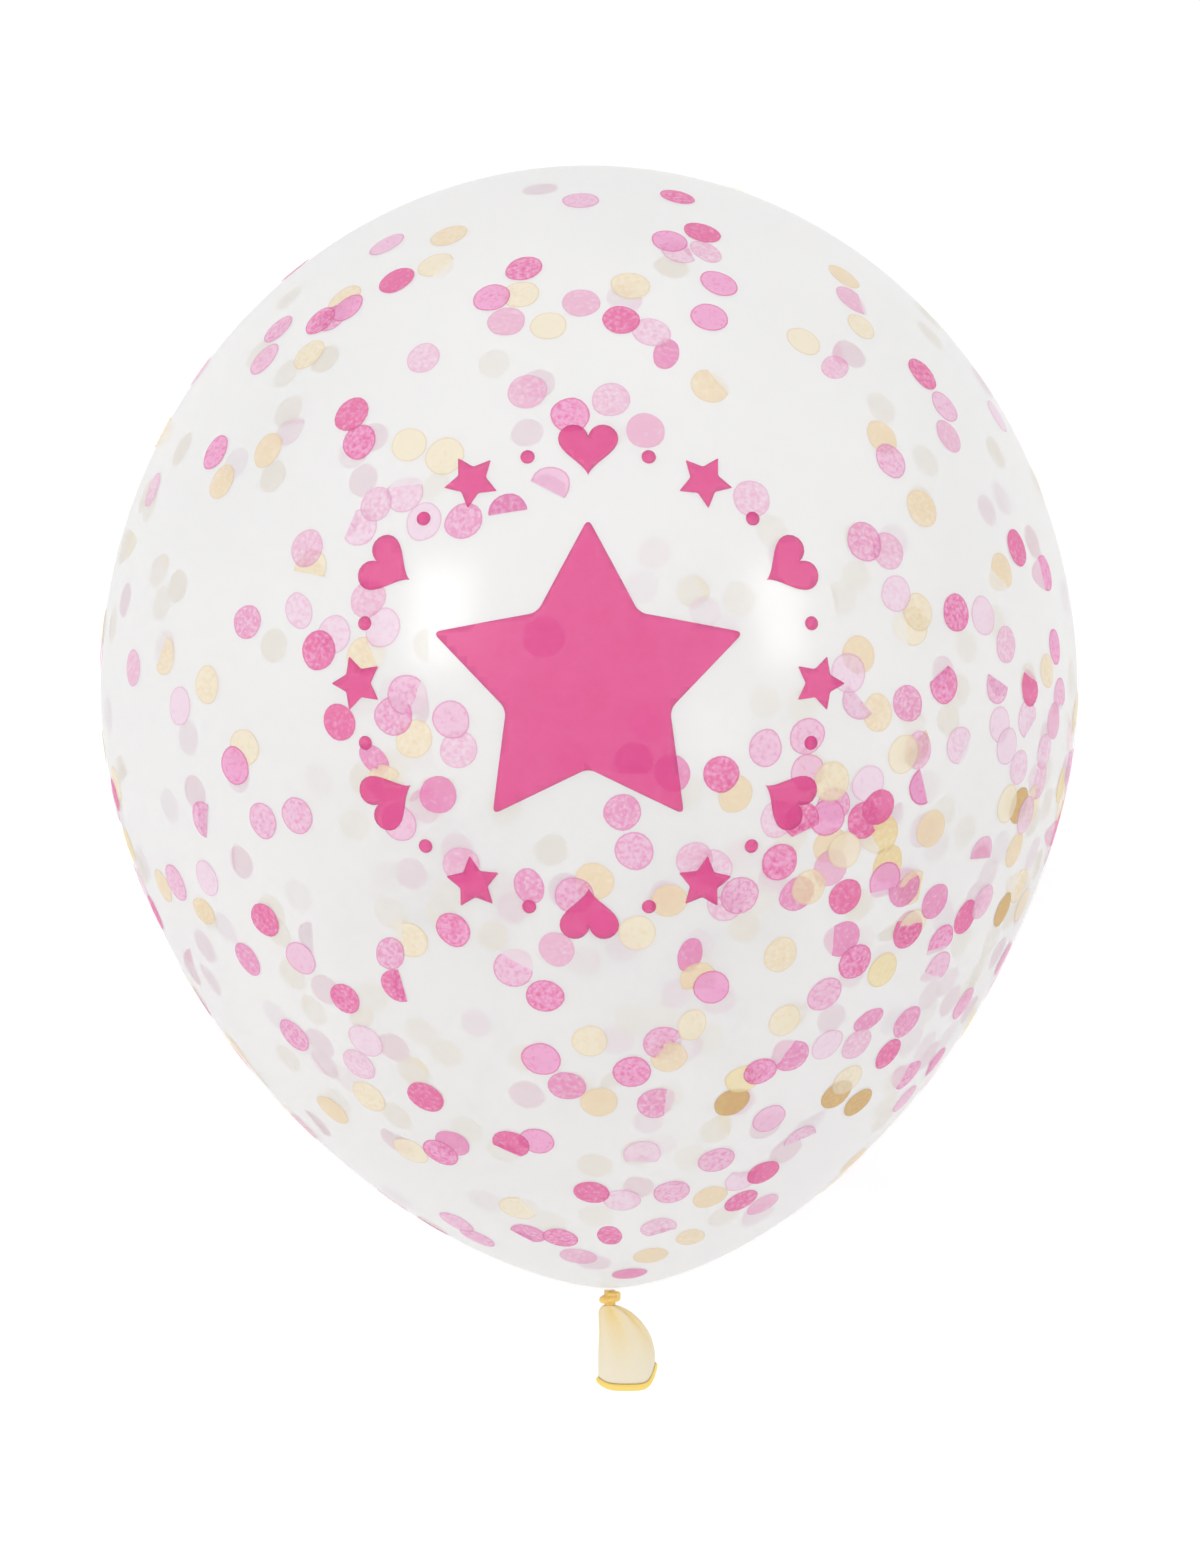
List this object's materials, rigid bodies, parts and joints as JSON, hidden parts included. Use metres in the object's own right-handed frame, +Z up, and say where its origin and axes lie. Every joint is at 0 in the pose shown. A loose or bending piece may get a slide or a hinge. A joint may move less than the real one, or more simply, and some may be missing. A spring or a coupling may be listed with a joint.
{
  "type": "confetti balloon",
  "caption": "Clear round latex party balloon, blown up and tied at the neck, lying on its back, with tissue paper confetti clinging inside and a pink star print.",
  "frame": {"origin": "middle of the small flat spot on the underside that the lying balloon rests on", "axes": "+Z up, +Y towards the crown and -Y towards the knot and tail, with the print on the upper side"},
  "size_m": [0.3, 0.3648, 0.2992],
  "materials": {
    "clear_latex": "clear, slightly milky stretched latex with a soft gloss",
    "slack_latex": "unstretched latex of the knot, tail and rolled lip, cream to amber, satin",
    "print_ink": "thin flexible pink ink printed on the skin, satin",
    "hot_pink_tissue": "matte tissue paper",
    "light_pink_tissue": "matte tissue paper",
    "cream_tissue": "matte tissue paper",
    "blush_tissue": "matte tissue paper"
  },
  "bodies": {
    "root": {"balloon": "clear_latex"}
  },
  "joints": []
}
